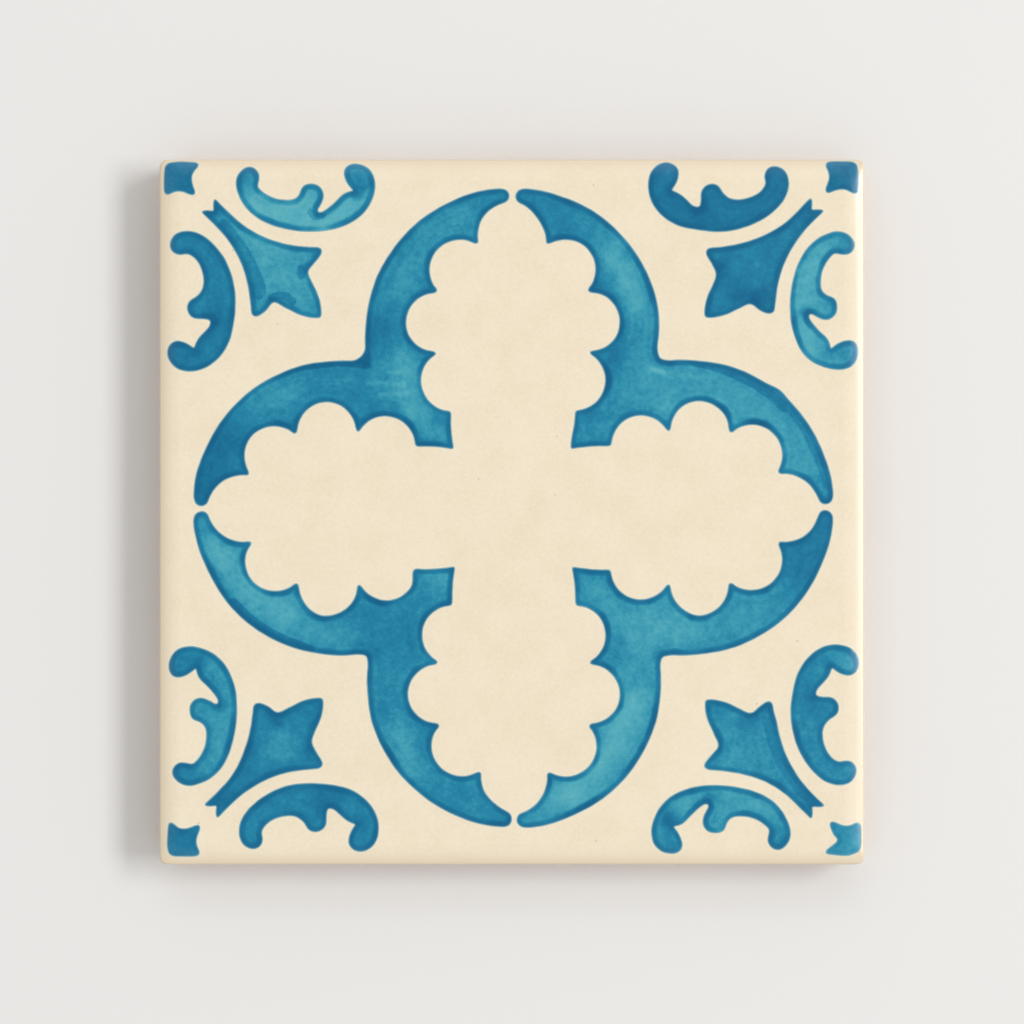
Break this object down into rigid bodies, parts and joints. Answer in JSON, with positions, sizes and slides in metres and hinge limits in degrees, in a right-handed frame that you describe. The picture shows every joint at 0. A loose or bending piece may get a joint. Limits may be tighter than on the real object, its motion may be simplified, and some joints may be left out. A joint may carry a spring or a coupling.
{
  "type": "azulejo tile",
  "caption": "Square glazed earthenware wall tile with a cushioned face edge, drafted sides, a grooved back and a hand-painted blue quatrefoil ornament on cream.",
  "frame": {"origin": "middle of the back, on the plane that the tile lies on", "axes": "+Z out of the glazed face, X and Y along the sides of the square"},
  "size_m": [0.14, 0.14, 0.01],
  "materials": {
    "tin_glaze": "gloss",
    "blue_enamel": "gloss"
  },
  "bodies": {
    "root": {"azulejo_tile": "tin_glaze"}
  },
  "joints": []
}
